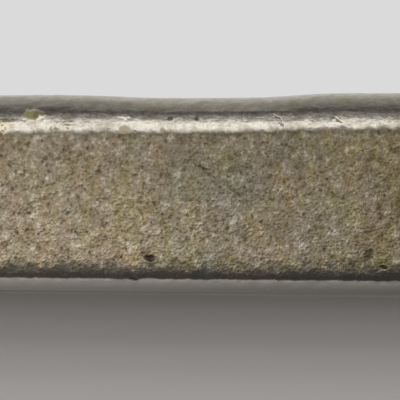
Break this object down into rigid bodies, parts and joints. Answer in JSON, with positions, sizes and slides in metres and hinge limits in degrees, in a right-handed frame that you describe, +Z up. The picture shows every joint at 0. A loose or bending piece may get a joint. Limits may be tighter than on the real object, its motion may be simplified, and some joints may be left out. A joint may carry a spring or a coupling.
{
  "type": "metal ingot",
  "caption": "Cast metal ingot: a solid bar with leaning walls, round edges, a rolled rim and a sunk poured face, stored or stacked as stock for melting.",
  "frame": {"origin": "centre of the base, on the floor that the ingot lies on", "axes": "+X along the length, +Y across the width, +Z up through the poured face"},
  "size_m": [0.11, 0.05, 0.019],
  "materials": {
    "cast_metal": "as cast: grainy tarnished walls, a smoother and brighter rim and poured face"
  },
  "bodies": {
    "root": {"ingot": "cast_metal"}
  },
  "joints": []
}
